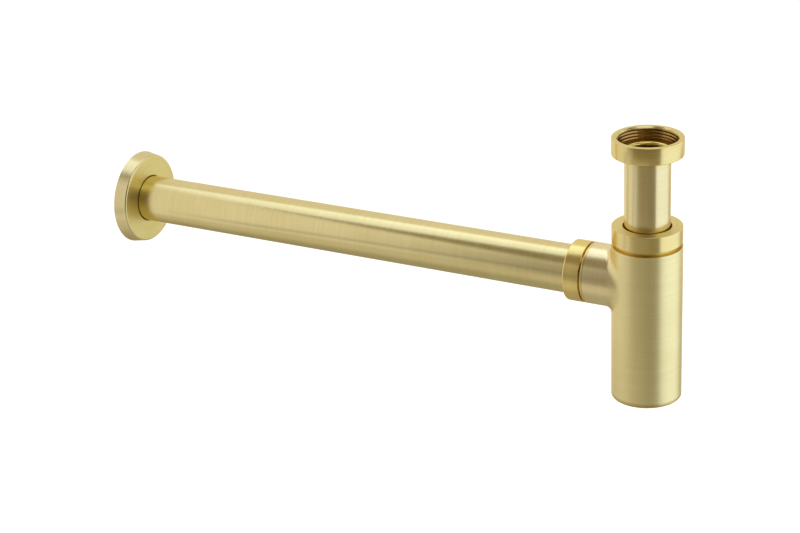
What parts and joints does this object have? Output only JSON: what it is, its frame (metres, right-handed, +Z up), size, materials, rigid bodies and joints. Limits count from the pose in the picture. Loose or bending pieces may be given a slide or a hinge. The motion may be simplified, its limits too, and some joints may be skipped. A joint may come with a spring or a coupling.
{
  "type": "bottle trap",
  "caption": "Round bottle trap for a basin in brushed pale brass: union nut, sliding dip tube, bottle with side outlet, long straight wall pipe and round wall flange.",
  "frame": {"origin": "on the bottle's axis, at the sealing face of the dip tube, where the thread of the union nut begins", "axes": "+Z up along the bottle and the inlet thread, +Y along the outlet pipe towards the wall"},
  "size_m": [0.0712, 0.4529, 0.1942],
  "materials": {
    "nut_brass": "brushed round",
    "tube_brass": "brushed round",
    "bottle_brass": "brushed round",
    "flange_brass": "brushed round",
    "seal_rubber": "matte",
    "ring_nylon": "satin"
  },
  "bodies": {
    "inlet_nut": {"inlet_nut": "nut_brass"},
    "inlet_tube": {"inlet_tube": "tube_brass"},
    "cap_seal": {"cap_seal": "seal_rubber"},
    "bottle": {"bottle_body": "bottle_brass", "outlet_seal": "seal_rubber"},
    "cap_slip_ring": {"cap_slip_ring": "ring_nylon"},
    "cap_nut": {"cap_nut": "nut_brass"},
    "outlet_slip_ring": {"outlet_slip_ring": "ring_nylon"},
    "outlet_nut": {"outlet_nut": "nut_brass"},
    "outlet_pipe": {"outlet_pipe": "tube_brass"},
    "wall_flange": {"wall_flange": "flange_brass"}
  },
  "joints": [
    {"name": "union_turn", "type": "hinge", "parent": "inlet_nut", "child": "inlet_tube", "pos_m": [0, 0, 0], "axis": [0, 0, 1], "continuous": true},
    {"name": "height_slide", "type": "slide", "parent": "inlet_tube", "child": "cap_seal", "axis": [0, 0, 1], "range_m": [-0.05, 0.014]},
    {"name": "bottle_swivel", "type": "hinge", "parent": "cap_seal", "child": "bottle", "pos_m": [0, 0, -0.09785], "axis": [0, 0, 1], "continuous": true},
    {"name": "cap_nut_lift", "type": "slide", "parent": "bottle", "child": "cap_slip_ring", "axis": [0, 0, 1], "range_m": [0, 0.005]},
    {"name": "cap_nut_turn", "type": "hinge", "parent": "cap_slip_ring", "child": "cap_nut", "pos_m": [0, 0, -0.0612], "axis": [0, 0, 1], "range_deg": [0, 1188]},
    {"name": "outlet_nut_draw", "type": "slide", "parent": "bottle", "child": "outlet_slip_ring", "axis": [0, 1, 0], "range_m": [0, 0.0057]},
    {"name": "outlet_nut_turn", "type": "hinge", "parent": "outlet_slip_ring", "child": "outlet_nut", "pos_m": [0, 0.0495, -0.09785], "axis": [0, 1, 0], "range_deg": [0, 1350]},
    {"name": "pipe_slide", "type": "slide", "parent": "bottle", "child": "outlet_pipe", "axis": [0, 1, 0], "range_m": [0, 0.018]},
    {"name": "flange_slide", "type": "slide", "parent": "outlet_pipe", "child": "wall_flange", "axis": [0, 1, 0], "range_m": [-0.35, 0]}
  ],
  "couplings": [
    {"joint": "cap_nut_lift", "follows": "cap_nut_turn", "m_per_rad": 0.00023873},
    {"joint": "outlet_nut_draw", "follows": "outlet_nut_turn", "m_per_rad": 0.00023873}
  ]
}
